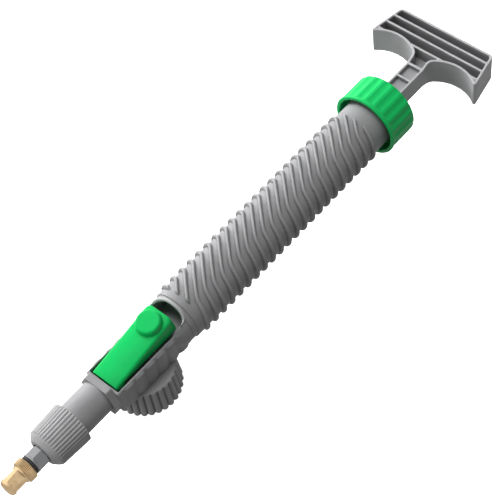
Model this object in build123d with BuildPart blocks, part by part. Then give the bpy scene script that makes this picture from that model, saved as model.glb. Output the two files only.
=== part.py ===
from build123d import *
import os

# Hand-pump sprayer for a 28 mm drink bottle, in millimetres.
# +X is the spray direction, +Z is up (lever side), +Y is the sprayer's left-hand side.
# The origin is the centre of the bottle nut's open mouth; the pump axis runs along X at AXIS_Z.

AXIS_Z = 25.0            # pump axis above the nut's mouth

# pump barrel
BORE_R = 11.0
BARREL_R = 13.2
RIB_R = 14.7
BARREL_FRONT = -23.6
RING_R = 12.6            # the slimmer front ring of the barrel
RING_REAR = -26.8
BARREL_REAR = -180.0
RIB_FRONT = -30.2        # the ribbed zone
RIB_REAR = -156.9
RIB_PITCH = 5.82
RIB_WIDTH = 2.1          # measured along X
RIB_FIRST = -35.43       # x of rib 0 where it crosses the top centre line
RIB_KINK_Y = 7.9         # the ribs run diagonally inside this half width
RIB_KINK_DX = 7.2
RIB_SIDE_DX = 8.73       # a rib ends this far forward or back at the sides: 3 pitches in all
RIB_SIDE_Y = 14.7
THREAD_R = 15.2          # screw land under the end cap
THREAD_FRONT = -172.5

# end cap and rod guide
CAP_FRONT = -165.0
CAP_REAR = -183.0
CAP_R = 17.5
CAP_LIP_R = 17.8
CAP_FLUTES = 20
CAP_INNER_R = 15.9
CAP_HOLE_R = 8.6
GUIDE_REAR = -181.2
GUIDE_FRONT = -175.0

# T-handle and rod, at rest 20 mm out of the pushed-in position
ROD_Y = 5.05
ROD_Z = 5.8
ROD_FLOOR_Z = 3.3
ROD_FLANGE = 1.3
ROD_RIB = 1.25
ROD_RIB_PITCH = 9.24
ROD_RIB_LAST = -206.2
ROD_REAR = -207.0
ROD_SHOULDER = -70.0
HANDLE_Z = 7.7
HANDLE_REAR = -233.0
HANDLE_REAR_Y = 28.6
TIP_X = -209.0
TIP_Y = 33.0
HANDLE_CORNER_R = 2.6
HANDLE_TIP_R = 0.9
HANDLE_WALL = 1.25
RAMP_REAR = -211.4
HANDLE_WEB = 0.8
FINGER_X = -196.7        # centre and radius of each finger recess
FINGER_Y = 18.5
FINGER_R = 20.0
HANDLE_RIBS = (-215.7, -221.6, -227.1)

# piston
PISTON_FRONT = -56.5
PISTON_R = 10.9
SPIGOT_R = 4.0

# valve housing
HOUSE_FRONT = 25.7
HOUSE_Y = 10.0
HOUSE_BOTTOM = 16.5
RIM_Z = 31.0
PLATE_REAR = 22.0        # the six-sided front plate stands higher than the rim
PLATE_TOP_Z = 33.9
PLATE_TOP_Y = 6.7
PLATE_WIDE_Z = 25.3
PLATE_WIDE_Y = 11.0
PLATE_LOW_Y = 8.2
PLATE_CORNER_R = 0.9
HOOD_X = -20.5           # the arched edge behind the lever starts here at HOOD_Z
HOOD_Z = 33.0
HOOD_R = 5.0
HOOD_RAMP_X = -14.0
SLOT_FRONT = 20.8
SLOT_REAR = -28.5
SLOT_Y = 8.9
SLOT_FLOOR = 24.5
COLUMN_R = 6.76          # the finger columns along both sides
COLUMN_Y = 4.14
COLUMN_PITCH = 6.74
COLUMN_FIRST = 15.0
COLUMN_SHOULDER_Z = 29.5 # the columns slope in above this height
PLUG_REAR = -36.0
PLUG_R = 10.95
GALLERY_Z = 21.6
WATER_R = 1.5
AIR_R = 1.3
AIR_X = -6.0
CHECK_R = 3.6

# thumb lever
LEVER_FRONT = 20.4
LEVER_REAR = -18.4
LEVER_Y = 7.5
LEVER_FRONT_Z = 31.4     # height of the shoulders at the front end
LEVER_SLOPE = 0.21
LEVER_CROWN = 1.0
LEVER_DEPTH = 9.8        # of its section, before the hem is cut level
LEVER_HEM_Z = 30.4
PIN_X = 17.5
PIN_Z = 27.6
PIN_R = 1.25
BUTTON_X = -11.0
BUTTON_R = 6.5
BUTTON_H = 2.7

# valve and bottle connection, round the Z axis
STEM_R = 1.45
SEAT_Z = 19.0
WASHER_Z = 18.1
STEM_HEAD_Z = 16.8
FLANGE_R = 12.3
FLANGE_TOP = 13.9
GASKET_TOP = 12.1
NECK_R = 8.0
MOUTH_PLUG_R = 10.2      # fits inside the mouth of a 28 mm bottle
MOUTH_PLUG_Z = 6.6
CHAMBER_R = 3.3
SPRING_SEAT_Z = 12.4
BUSH_R = 4.4
TUBE_R = 3.0             # socket for a 6 mm dip tube
TUBE_STOP_Z = 11.4
NUT_TOP = 16.3
NUT_TOP_WALL = 2.2
NUT_THREAD_R = 14.0
NUT_THREAD_TOP = 6.4
NUT_RELIEF_R = 14.25
NUT_R_TOP = 16.4
NUT_R_BOTTOM = 17.6
NUT_FLUTES = 30

# outlet
NECK_TUBE_R = 8.6
TUBE_BORE_R = 2.2
COLLAR_REAR = 42.0
COLLAR_KNURL_END = 58.1
COLLAR_FRONT = 61.4
COLLAR_REAR_R = 11.1
COLLAR_FRONT_R = 10.15
COLLAR_GROOVES = 38
STEM_BAR_R = 5.0
NOZZLE_REAR = 69.6
NOZZLE_TIP = 83.5

PUMP_AXIS = Axis((0, 0, AXIS_Z), (1, 0, 0))
# sections through the pump axis: sketch x is X, sketch y is the height above the axis
LENGTHWISE = Plane(origin=(0, 0, AXIS_Z), x_dir=(1, 0, 0), z_dir=(0, -1, 0))
UPRIGHT = Plane.XZ       # sections through the nut's axis: sketch x is X, sketch y is Z

os.makedirs("parts", exist_ok=True)


def across(x):
    """Plane square to the pump axis at x: sketch x is Y, sketch y is the height above the axis."""
    return Plane(origin=(x, 0, AXIS_Z), x_dir=(0, 1, 0), z_dir=(1, 0, 0))


def save(part, name):
    part.label = name
    export_step(part, f"parts/{name}.step")


# ---------------------------------------------------------------- opening above the lever
# Seen from the side its edge comes along the rim, ramps up and arches over at the barrel.
with BuildPart() as hood_opening:
    with BuildSketch(UPRIGHT):
        with BuildLine():
            RadiusArc((HOOD_X, HOOD_Z), (HOOD_X - HOOD_R, HOOD_Z + HOOD_R), HOOD_R)
            Polyline(
                (HOOD_X - HOOD_R, HOOD_Z + HOOD_R), (HOOD_X - HOOD_R, 50), (PLATE_REAR, 50),
                (PLATE_REAR, RIM_Z), (HOOD_RAMP_X, RIM_Z), (HOOD_X, HOOD_Z),
            )
        make_face()
    extrude(amount=20, both=True)

# ---------------------------------------------------------------- pump barrel
# Every rib is a bent ring. Seen from above it is one S-shaped strip, cut from a tube.
with BuildPart() as grip_ribs:
    with BuildSketch(Plane.XY):
        for n in range(-2, 23):
            x = RIB_FIRST - n * RIB_PITCH + RIB_PITCH
            path = [
                (x - RIB_SIDE_DX, -RIB_SIDE_Y - 1),
                (x - RIB_SIDE_DX, -RIB_SIDE_Y),
                (x - RIB_KINK_DX, -RIB_KINK_Y),
                (x + RIB_KINK_DX, RIB_KINK_Y),
                (x + RIB_SIDE_DX, RIB_SIDE_Y),
                (x + RIB_SIDE_DX, RIB_SIDE_Y + 1),
            ]
            half = RIB_WIDTH / 2
            front = [(px + half, py) for px, py in path]
            back = [(px - half, py) for px, py in reversed(path)]
            with BuildLine():
                Polyline(*front, *back, close=True)
            make_face()
    extrude(amount=AXIS_Z + 20)
    with BuildSketch(across(RIB_REAR)):
        Circle(RIB_R)
        Circle(BARREL_R - 0.4, mode=Mode.SUBTRACT)
    extrude(amount=RIB_FRONT - RIB_REAR, mode=Mode.INTERSECT)

with BuildPart() as pump_barrel:
    with BuildSketch(LENGTHWISE):
        with BuildLine():
            Polyline(
                (BARREL_FRONT, BORE_R), (BARREL_FRONT, RING_R - 0.4), (BARREL_FRONT - 0.4, RING_R),
                (RING_REAR, RING_R), (RING_REAR, BARREL_R - 0.3), (RING_REAR - 0.3, BARREL_R),
                (THREAD_FRONT + 1.2, BARREL_R), (THREAD_FRONT, THREAD_R),
                (BARREL_REAR + 0.8, THREAD_R), (BARREL_REAR, THREAD_R - 0.8), (BARREL_REAR, BORE_R),
                close=True,
            )
        make_face()
    revolve(axis=PUMP_AXIS)
    add(grip_ribs.part)
    add(hood_opening.part, mode=Mode.SUBTRACT)
save(pump_barrel.part, "pump_barrel")

# ---------------------------------------------------------------- end cap and rod guide
with BuildPart() as end_cap:
    with BuildSketch(LENGTHWISE):
        with BuildLine():
            Polyline(
                (CAP_REAR, CAP_HOLE_R), (CAP_REAR, CAP_R - 1.6), (CAP_REAR + 0.5, CAP_R - 0.5),
                (CAP_REAR + 1.6, CAP_R), (CAP_FRONT - 1.8, CAP_R), (CAP_FRONT - 1.4, CAP_LIP_R),
                (CAP_FRONT - 0.3, CAP_LIP_R), (CAP_FRONT, CAP_LIP_R - 0.3),
                (CAP_FRONT, CAP_INNER_R), (CAP_FRONT - 6.0, CAP_INNER_R),
                (CAP_FRONT - 6.7, THREAD_R), (GUIDE_REAR, THREAD_R), (GUIDE_REAR, CAP_HOLE_R),
                close=True,
            )
        make_face()
    revolve(axis=PUMP_AXIS)
    # shallow hollow flutes, open at the rear and stopped behind the lip
    with BuildSketch(across(CAP_REAR - 1)):
        with PolarLocations(CAP_R + 5.55, CAP_FLUTES, start_angle=10):
            Circle(6.0)
    extrude(amount=CAP_FRONT - CAP_REAR - 0.9, mode=Mode.SUBTRACT)
save(end_cap.part, "end_cap")

with BuildPart() as rod_guide:
    with BuildSketch(LENGTHWISE):
        with BuildLine():
            Polyline(
                (GUIDE_REAR, 0), (GUIDE_REAR, BARREL_R), (BARREL_REAR, BARREL_R),
                (BARREL_REAR, BORE_R - 0.02), (GUIDE_FRONT, BORE_R - 0.02), (GUIDE_FRONT, 0),
                close=True,
            )
        make_face()
    revolve(axis=PUMP_AXIS)
    with BuildSketch(across(GUIDE_REAR)):
        Rectangle(2 * ROD_Y + 0.2, 2 * ROD_Z + 0.2)
    extrude(amount=GUIDE_FRONT - GUIDE_REAR, mode=Mode.SUBTRACT)
    # vent that lets air in behind the piston
    with BuildSketch(across(GUIDE_REAR)):
        with Locations((8.0, 0)):
            Circle(0.8)
    extrude(amount=GUIDE_FRONT - GUIDE_REAR, mode=Mode.SUBTRACT)
save(rod_guide.part, "rod_guide")

# ---------------------------------------------------------------- T-handle and rod
# Outline of the crossbar from above, with the two finger recesses cut out.
with BuildSketch(Plane.XY) as crossbar_outline:
    with BuildLine():
        Polyline(
            (HANDLE_REAR, -HANDLE_REAR_Y), (HANDLE_REAR, HANDLE_REAR_Y), (TIP_X, TIP_Y),
            (ROD_REAR, ROD_Y), (ROD_REAR, -ROD_Y), (TIP_X, -TIP_Y), close=True,
        )
    make_face()
    with Locations((FINGER_X, FINGER_Y), (FINGER_X, -FINGER_Y)):
        Circle(FINGER_R, mode=Mode.SUBTRACT)
    # the web that carries the rod between the recesses
    with Locations((-209.0, 0)):
        Rectangle(8.0, 2 * ROD_Y)
    fillet(crossbar_outline.vertices().group_by(Axis.X)[0], radius=HANDLE_CORNER_R)
    roots = [v for v in crossbar_outline.vertices() if abs(abs(v.Y) - ROD_Y) < 0.01 and v.X < -208]
    fillet(roots, radius=4.0)
    tips = [v for v in crossbar_outline.vertices() if abs(v.Y) > TIP_Y - 1]
    fillet(tips, radius=HANDLE_TIP_R)

with BuildSketch(Plane.XY) as crossbar_pocket:
    add(crossbar_outline.sketch)
    offset(amount=-HANDLE_WALL, kind=Kind.INTERSECTION, mode=Mode.REPLACE)
    for x in HANDLE_RIBS:
        with Locations((x, 0)):
            Rectangle(1.2, 80, mode=Mode.SUBTRACT)
    # the pocket stops at the last rung of the rod
    with Locations((-196.8, 0)):
        Rectangle(20.0, 80, mode=Mode.SUBTRACT)

with BuildPart() as t_handle:
    with BuildSketch(Plane.XY.offset(AXIS_Z - HANDLE_Z)):
        add(crossbar_outline.sketch)
    extrude(amount=2 * HANDLE_Z)
    # ramps from the tall crossbar down to the rod
    for side in (1, -1):
        with BuildSketch(LENGTHWISE):
            with BuildLine():
                Polyline(
                    (ROD_REAR + 1, side * ROD_Z), (ROD_REAR + 7, side * ROD_Z), (ROD_REAR + 7, side * 12),
                    (RAMP_REAR, side * 12), (RAMP_REAR, side * HANDLE_Z), close=True,
                )
            make_face()
        extrude(amount=ROD_Y + 0.3, both=True, mode=Mode.SUBTRACT)
    # rod: solid core between two flanges, open above and below
    with BuildSketch(across(ROD_REAR)):
        Rectangle(2 * ROD_Y, 2 * ROD_Z)
    extrude(amount=ROD_SHOULDER - ROD_REAR)
    # pockets of the crossbar, above and below the middle web
    with BuildSketch(Plane.XY.offset(AXIS_Z + HANDLE_WEB)):
        add(crossbar_pocket.sketch)
    extrude(amount=HANDLE_Z, mode=Mode.SUBTRACT)
    with BuildSketch(Plane.XY.offset(AXIS_Z - HANDLE_WEB)):
        add(crossbar_pocket.sketch)
    extrude(amount=-HANDLE_Z, mode=Mode.SUBTRACT)
    # pockets of the rod between its rungs
    rungs = 14
    pocket_length = ROD_RIB_PITCH - ROD_RIB
    for k in range(rungs):
        x = ROD_RIB_LAST + (k + 0.5) * ROD_RIB_PITCH
        for z in (AXIS_Z + ROD_FLOOR_Z, AXIS_Z - ROD_Z - 1):
            with BuildSketch(Plane.XY.offset(z)):
                with Locations((x, 0)):
                    Rectangle(pocket_length, 2 * (ROD_Y - ROD_FLANGE))
            extrude(amount=ROD_Z + 1 - ROD_FLOOR_Z, mode=Mode.SUBTRACT)
    # spigot for the piston head, with the screw's hole
    with BuildSketch(across(ROD_SHOULDER)):
        Circle(SPIGOT_R)
    extrude(amount=7.5)
    with BuildSketch(across(ROD_SHOULDER - 2)):
        Circle(1.25)
    extrude(amount=12, mode=Mode.SUBTRACT)
save(t_handle.part, "t_handle")

# ---------------------------------------------------------------- piston
with BuildPart() as piston_head:
    with BuildSketch(LENGTHWISE):
        with BuildLine():
            Polyline(
                (ROD_SHOULDER, SPIGOT_R), (ROD_SHOULDER, PISTON_R), (-63.0, PISTON_R), (-63.0, 8.7),
                (-60.0, 8.7), (-60.0, PISTON_R), (PISTON_FRONT - 0.6, PISTON_R),
                (PISTON_FRONT, PISTON_R - 0.6), (PISTON_FRONT, 3.3), (-58.6, 3.3), (-58.6, 1.25),
                (-62.5, 1.25), (-62.5, SPIGOT_R), close=True,
            )
        make_face()
    revolve(axis=PUMP_AXIS)
save(piston_head.part, "piston_head")

with BuildPart() as piston_o_ring:
    with BuildSketch(LENGTHWISE):
        with BuildLine():
            Polyline(
                (-62.9, 9.4), (-62.9, 10.3), (-62.2, 10.95), (-60.8, 10.95), (-60.1, 10.3),
                (-60.1, 9.4), (-60.8, 8.7), (-62.2, 8.7), close=True,
            )
        make_face()
    revolve(axis=PUMP_AXIS)
save(piston_o_ring.part, "piston_o_ring")

with BuildPart() as piston_screw:
    with BuildSketch(LENGTHWISE):
        with BuildLine():
            Polyline((-71.5, 0), (-71.5, 1.25), (-58.6, 1.25), (-58.6, 2.8), (-57.2, 2.8), (-56.9, 2.2),
                     (-56.9, 0), close=True)
        make_face()
    revolve(axis=PUMP_AXIS)
    # cross recess
    with BuildSketch(across(-57.9)):
        Rectangle(2.8, 0.7)
        Rectangle(0.7, 2.8)
    extrude(amount=2, mode=Mode.SUBTRACT)
save(piston_screw.part, "piston_screw")

# ---------------------------------------------------------------- valve housing
with BuildPart() as column:
    with BuildSketch(Plane.XY.offset(HOUSE_BOTTOM)):
        Circle(COLUMN_R)
    extrude(amount=COLUMN_SHOULDER_Z - HOUSE_BOTTOM)
    with BuildSketch(Plane.XY.offset(COLUMN_SHOULDER_Z)):
        Circle(COLUMN_R)
    extrude(amount=RIM_Z - COLUMN_SHOULDER_Z, taper=40)

with BuildPart() as valve_housing:
    with BuildSketch(across(BARREL_FRONT)) as block:
        with Locations((0, (RIM_Z + HOUSE_BOTTOM) / 2 - AXIS_Z)):
            Rectangle(2 * HOUSE_Y, RIM_Z - HOUSE_BOTTOM)
        fillet(block.vertices().group_by(Axis.Y)[-1], radius=1.1)
    extrude(amount=PLATE_REAR - BARREL_FRONT)
    # six-sided front plate
    right = [(PLATE_LOW_Y, HOUSE_BOTTOM), (PLATE_WIDE_Y, PLATE_WIDE_Z), (PLATE_TOP_Y, PLATE_TOP_Z)]
    left = [(-y, z) for y, z in reversed(right)]
    with BuildSketch(across(PLATE_REAR)):
        with BuildLine():
            Polyline(*[(y, z - AXIS_Z) for y, z in right + left], close=True)
        plate = make_face()
        fillet(plate.vertices(), radius=PLATE_CORNER_R)
    extrude(amount=HOUSE_FRONT - PLATE_REAR)
    # six bulging finger columns on each side
    with Locations(*[
        (COLUMN_FIRST - k * COLUMN_PITCH, side * COLUMN_Y, 0) for k in range(6) for side in (1, -1)
    ]):
        add(column.part)
    with BuildSketch(across(BARREL_FRONT)):
        Rectangle(40, 40)
    extrude(amount=-10, mode=Mode.SUBTRACT)
    # cone that carries the barrel's front ring over into the sides
    with BuildSketch(LENGTHWISE):
        with BuildLine():
            Polyline(
                (BARREL_FRONT, 0), (BARREL_FRONT, RING_R), (BARREL_FRONT + 2, RING_R), (-12.0, HOUSE_Y),
                (-12.0, 0), close=True,
            )
        make_face()
    revolve(axis=PUMP_AXIS)
    # flat underside above the bottle nut
    with BuildSketch(Plane.XY.offset(HOUSE_BOTTOM)):
        with Locations((-15.0, 0)):
            Rectangle(8.0, 30)
    extrude(amount=-5, mode=Mode.SUBTRACT)
    # plug that closes the barrel, with a groove for its O-ring
    with BuildSketch(LENGTHWISE):
        with BuildLine():
            Polyline(
                (PLUG_REAR, 0), (PLUG_REAR, PLUG_R - 0.5), (PLUG_REAR + 0.5, PLUG_R),
                (-33.6, PLUG_R), (-33.6, 9.2), (-31.0, 9.2), (-31.0, PLUG_R),
                (BARREL_FRONT, PLUG_R), (BARREL_FRONT + 2, PLUG_R), (BARREL_FRONT + 2, 0), close=True,
            )
        make_face()
    revolve(axis=PUMP_AXIS)
    # the lever's channel, open on top and running on under the barrel's front edge
    with BuildSketch(Plane.XY.offset(SLOT_FLOOR)):
        with Locations(((SLOT_REAR + SLOT_FRONT) / 2, 0)):
            Rectangle(SLOT_FRONT - SLOT_REAR, 2 * SLOT_Y)
    extrude(amount=20, mode=Mode.SUBTRACT)
    add(hood_opening.part, mode=Mode.SUBTRACT)
    # hole for the lever's pin, blind on the left side
    with BuildSketch(Plane.XZ.offset(-9.6)):
        with Locations((PIN_X, PIN_Z)):
            Circle(PIN_R)
    extrude(amount=24, mode=Mode.SUBTRACT)
    # valve: pocket of the stem seal, guide, water chamber and the connector's socket
    with BuildSketch(Plane.XY.offset(23.0)):
        Circle(2.6)
    extrude(amount=2, mode=Mode.SUBTRACT)
    with BuildSketch(Plane.XY.offset(22.0)):
        Circle(STEM_R + 0.05)
    extrude(amount=2, mode=Mode.SUBTRACT)
    with BuildSketch(Plane.XY.offset(19.8)):
        Circle(2.4)
    extrude(amount=2.8, mode=Mode.SUBTRACT)
    with BuildSketch(Plane.XY.offset(HOUSE_BOTTOM)):
        Circle(7.6)
    extrude(amount=3.3, mode=Mode.SUBTRACT)
    # water gallery to the outlet, and the outlet tube's socket
    with BuildSketch(across(0)):
        with Locations((0, GALLERY_Z - AXIS_Z)):
            Circle(WATER_R)
    extrude(amount=22.5, mode=Mode.SUBTRACT)
    with BuildSketch(across(21.9)):
        Circle(5.0)
    extrude(amount=5, mode=Mode.SUBTRACT)
    # air gallery from the check valve to the hole down into the bottle
    with BuildSketch(across(PLUG_REAR)):
        with Locations((0, GALLERY_Z - AXIS_Z)):
            Circle(CHECK_R)
    extrude(amount=6.0, mode=Mode.SUBTRACT)
    with BuildSketch(across(PLUG_REAR)):
        with Locations((0, GALLERY_Z - AXIS_Z)):
            Circle(AIR_R)
    extrude(amount=AIR_X - PLUG_REAR, mode=Mode.SUBTRACT)
    with BuildSketch(Plane.XY.offset(19.8)):
        with Locations((AIR_X, 0)):
            Circle(1.2)
    extrude(amount=1.8, mode=Mode.SUBTRACT)
save(valve_housing.part, "valve_housing")

with BuildPart() as housing_o_ring:
    with BuildSketch(LENGTHWISE):
        with BuildLine():
            Polyline(
                (-33.5, 9.8), (-33.5, 10.4), (-32.9, 10.98), (-31.7, 10.98), (-31.1, 10.4),
                (-31.1, 9.8), (-31.7, 9.2), (-32.9, 9.2), close=True,
            )
        make_face()
    revolve(axis=PUMP_AXIS)
save(housing_o_ring.part, "housing_o_ring")

# ---------------------------------------------------------------- check valve, round its own axis
CHECK_AXIS = Axis((0, 0, GALLERY_Z), (1, 0, 0))
CHECKWISE = Plane(origin=(0, 0, GALLERY_Z), x_dir=(1, 0, 0), z_dir=(0, -1, 0))

with BuildPart() as check_valve_seat:
    with BuildSketch(CHECKWISE):
        with BuildLine():
            Polyline((-36.0, 1.3), (-36.0, CHECK_R), (-34.2, CHECK_R), (-34.2, 2.0), (-33.9, 1.7),
                     (-33.9, 1.3), close=True)
        make_face()
    revolve(axis=CHECK_AXIS)
save(check_valve_seat.part, "check_valve_seat")

with BuildPart() as check_valve_disc:
    with BuildSketch(CHECKWISE):
        with BuildLine():
            Polyline((-33.88, 0), (-33.88, 2.8), (-33.0, 2.8), (-33.0, 1.0), (-32.3, 1.0), (-32.3, 0),
                     close=True)
        make_face()
    revolve(axis=CHECK_AXIS)
save(check_valve_disc.part, "check_valve_disc")

with BuildPart() as check_valve_spring:
    with BuildLine():
        check_coil = Helix(
            pitch=0.78, height=2.5, radius=1.7, center=(-32.76, 0, GALLERY_Z), direction=(1, 0, 0)
        )
    with BuildSketch(Plane(origin=check_coil @ 0, z_dir=check_coil % 0)):
        Circle(0.2)
    sweep(path=check_coil, is_frenet=True)
save(check_valve_spring.part, "check_valve_spring")

# ---------------------------------------------------------------- thumb lever and pin
# The lever's top rises to the rear; its frame leans back by the same slope.
lever_top = Plane(
    origin=(LEVER_FRONT, 0, LEVER_FRONT_Z),
    x_dir=(-1, 0, LEVER_SLOPE),
    z_dir=(LEVER_SLOPE, 0, 1),
)
lever_length = (LEVER_FRONT - LEVER_REAR) * (1 + LEVER_SLOPE**2) ** 0.5
lever_section = Plane(origin=lever_top.origin, x_dir=(0, 1, 0), z_dir=-lever_top.x_dir)
button_section = Plane(
    origin=lever_top.from_local_coords(((LEVER_FRONT - BUTTON_X) * (1 + LEVER_SLOPE**2) ** 0.5, 0, 0)),
    x_dir=lever_top.x_dir,
    z_dir=-lever_top.y_dir,
)

with BuildPart() as thumb_lever:
    # arched shell, open below
    with BuildSketch(lever_section):
        with BuildLine():
            shoulder = ThreePointArc((-LEVER_Y, 0), (0, LEVER_CROWN), (LEVER_Y, 0))
            Polyline((LEVER_Y, 0), (LEVER_Y, -LEVER_DEPTH), (-LEVER_Y, -LEVER_DEPTH), (-LEVER_Y, 0))
        make_face()
    extrude(amount=-lever_length)
    rear_corners = thumb_lever.edges().filter_by(Axis(origin=(0, 0, 0), direction=lever_top.z_dir))
    fillet(rear_corners.group_by(Axis.X)[0], radius=2.6)
    long_edges = thumb_lever.edges().filter_by(Axis(origin=(0, 0, 0), direction=lever_top.x_dir))
    fillet(long_edges.group_by(Axis.Z)[-1], radius=1.4)
    with BuildSketch(lever_section.offset(-1.5)):
        with Locations((0, -1.4 - LEVER_DEPTH / 2)):
            Rectangle(2 * LEVER_Y - 2.8, LEVER_DEPTH)
    extrude(amount=-(lever_length - 3.2), mode=Mode.SUBTRACT)
    # level hem just below the housing's rim
    with BuildSketch(Plane.XY.offset(LEVER_HEM_Z)):
        Rectangle(80, 30)
    extrude(amount=-30, mode=Mode.SUBTRACT)
    # raised thumb button with a well rounded edge
    button_top = LEVER_CROWN + BUTTON_H
    with BuildSketch(button_section):
        with BuildLine():
            Polyline((0, button_top), (0, -1), (BUTTON_R + 0.1, -1), (BUTTON_R - 0.4, button_top - 1.2))
            ThreePointArc((BUTTON_R - 0.4, button_top - 1.2), (BUTTON_R - 0.75, button_top - 0.36),
                          (BUTTON_R - 1.6, button_top))
            Line((BUTTON_R - 1.6, button_top), (0, button_top))
        make_face()
    revolve(axis=Axis(button_section.origin, lever_top.z_dir))
    # hub round the pin, and the keel that reaches back over the valve stem
    with BuildSketch(Plane.XZ):
        with BuildLine():
            Polyline(
                (19.9, 30.0), (19.9, 26.2), (18.6, 25.0), (16.0, 25.0), (1.6, 26.65), (-1.6, 26.65),
                (-4.0, 28.0), (-14.0, 36.0), (-14.0, 37.0), (2.0, 33.8), (16.0, 30.8), close=True,
            )
        make_face()
    extrude(amount=1.6, both=True)
    with BuildSketch(Plane.XZ):
        with Locations((PIN_X, PIN_Z)):
            Circle(2.6)
    extrude(amount=LEVER_Y, both=True)
    with BuildSketch(Plane.XZ):
        with BuildLine():
            Polyline((15.0, 28.2), (20.1, 28.2), (20.1, 30.4), (15.0, 31.4), close=True)
        make_face()
    extrude(amount=LEVER_Y, both=True)
    with BuildSketch(Plane.XZ):
        with Locations((PIN_X, PIN_Z)):
            Circle(PIN_R + 0.05)
    extrude(amount=12, both=True, mode=Mode.SUBTRACT)
save(thumb_lever.part, "thumb_lever")

with BuildPart() as lever_pin:
    with BuildSketch(Plane.XZ.offset(-9.6)):
        with Locations((PIN_X, PIN_Z)):
            Circle(PIN_R)
    extrude(amount=19.4)
    chamfer(lever_pin.edges(), length=0.2)
save(lever_pin.part, "lever_pin")

# ---------------------------------------------------------------- water valve
with BuildPart() as valve_stem:
    with BuildSketch(UPRIGHT):
        with BuildLine():
            Polyline((0, 26.5), (1.1, 26.5), (STEM_R, 26.1), (STEM_R, WASHER_Z), (2.8, WASHER_Z),
                     (2.8, STEM_HEAD_Z), (1.6, STEM_HEAD_Z), (1.6, STEM_HEAD_Z - 1.4),
                     (0, STEM_HEAD_Z - 1.4), close=True)
        make_face()
    revolve(axis=Axis.Z)
save(valve_stem.part, "valve_stem")

with BuildPart() as valve_washer:
    with BuildSketch(UPRIGHT):
        with BuildLine():
            Polyline((STEM_R, WASHER_Z), (2.9, WASHER_Z), (2.9, SEAT_Z - 0.04), (STEM_R, SEAT_Z - 0.04),
                     close=True)
        make_face()
    revolve(axis=Axis.Z)
save(valve_washer.part, "valve_washer")

with BuildPart() as valve_spring:
    with BuildLine():
        coil = Helix(
            pitch=1.1, height=STEM_HEAD_Z - SPRING_SEAT_Z - 0.5, radius=2.2,
            center=(0, 0, SPRING_SEAT_Z + 0.25),
        )
    with BuildSketch(Plane(origin=coil @ 0, z_dir=coil % 0)):
        Circle(0.2)
    sweep(path=coil, is_frenet=True)
save(valve_spring.part, "valve_spring")

with BuildPart() as stem_o_ring:
    with BuildSketch(UPRIGHT):
        with BuildLine():
            Polyline((1.5, 23.3), (1.8, 23.0), (2.3, 23.0), (2.6, 23.3), (2.6, 23.7), (2.3, 24.0),
                     (1.8, 24.0), (1.5, 23.7), close=True)
        make_face()
    revolve(axis=Axis.Z)
save(stem_o_ring.part, "stem_o_ring")

with BuildPart() as stem_gland:
    with BuildSketch(UPRIGHT):
        with BuildLine():
            Polyline((1.52, 24.0), (2.6, 24.0), (2.6, 24.5), (1.52, 24.5), close=True)
        make_face()
    revolve(axis=Axis.Z)
save(stem_gland.part, "stem_gland")

# ---------------------------------------------------------------- bottle connection
with BuildPart() as bottle_connector:
    with BuildSketch(UPRIGHT):
        with BuildLine():
            Polyline(
                (1.9, SEAT_Z), (1.9, 19.8), (7.6, 19.8), (7.6, HOUSE_BOTTOM), (NECK_R, HOUSE_BOTTOM),
                (NECK_R, FLANGE_TOP), (FLANGE_R, FLANGE_TOP), (FLANGE_R, GASKET_TOP),
                (MOUTH_PLUG_R, GASKET_TOP), (MOUTH_PLUG_R, MOUTH_PLUG_Z + 0.6),
                (MOUTH_PLUG_R - 0.6, MOUTH_PLUG_Z), (BUSH_R, MOUTH_PLUG_Z), (BUSH_R, SPRING_SEAT_Z),
                (CHAMBER_R, SPRING_SEAT_Z), (CHAMBER_R, SEAT_Z), close=True,
            )
        make_face()
    revolve(axis=Axis.Z)
    # air hole down into the bottle
    with BuildSketch(Plane.XY.offset(MOUTH_PLUG_Z - 1)):
        with Locations((AIR_X, 0)):
            Circle(1.2)
    extrude(amount=16, mode=Mode.SUBTRACT)
    # moulding hollow that saves material in the plug
    with BuildSketch(Plane.XY.offset(MOUTH_PLUG_Z - 1)):
        Circle(9.0)
        Circle(7.7, mode=Mode.SUBTRACT)
    extrude(amount=4.6, mode=Mode.SUBTRACT)
save(bottle_connector.part, "bottle_connector")

# bush pressed in from below: carries the valve spring and takes the dip tube
with BuildPart() as tube_bush:
    with BuildSketch(UPRIGHT):
        with BuildLine():
            Polyline(
                (1.5, SPRING_SEAT_Z), (BUSH_R, SPRING_SEAT_Z), (BUSH_R, MOUTH_PLUG_Z),
                (TUBE_R, MOUTH_PLUG_Z), (TUBE_R, TUBE_STOP_Z), (1.5, TUBE_STOP_Z), close=True,
            )
        make_face()
    revolve(axis=Axis.Z)
save(tube_bush.part, "tube_bush")

with BuildPart() as bottle_gasket:
    with BuildSketch(UPRIGHT):
        with BuildLine():
            Polyline(
                (MOUTH_PLUG_R, GASKET_TOP - 1.5), (FLANGE_R, GASKET_TOP - 1.5), (FLANGE_R, GASKET_TOP),
                (MOUTH_PLUG_R, GASKET_TOP), close=True,
            )
        make_face()
    revolve(axis=Axis.Z)
save(bottle_gasket.part, "bottle_gasket")

# The nut's side leans in towards the top, and its V-bottomed grooves lean with it.
nut_lean = Vector(NUT_R_TOP - NUT_R_BOTTOM, 0, NUT_TOP)
with BuildPart() as nut_groove:
    with BuildSketch(Plane(origin=(NUT_R_BOTTOM + 0.35, 0, 0), x_dir=(0, 1, 0), z_dir=nut_lean)):
        Rectangle(1.7, 1.7, rotation=45)
    extrude(amount=NUT_TOP - 0.9)
    extrude(nut_groove.faces().sort_by(Axis.Z)[0], amount=1.0)

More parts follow.
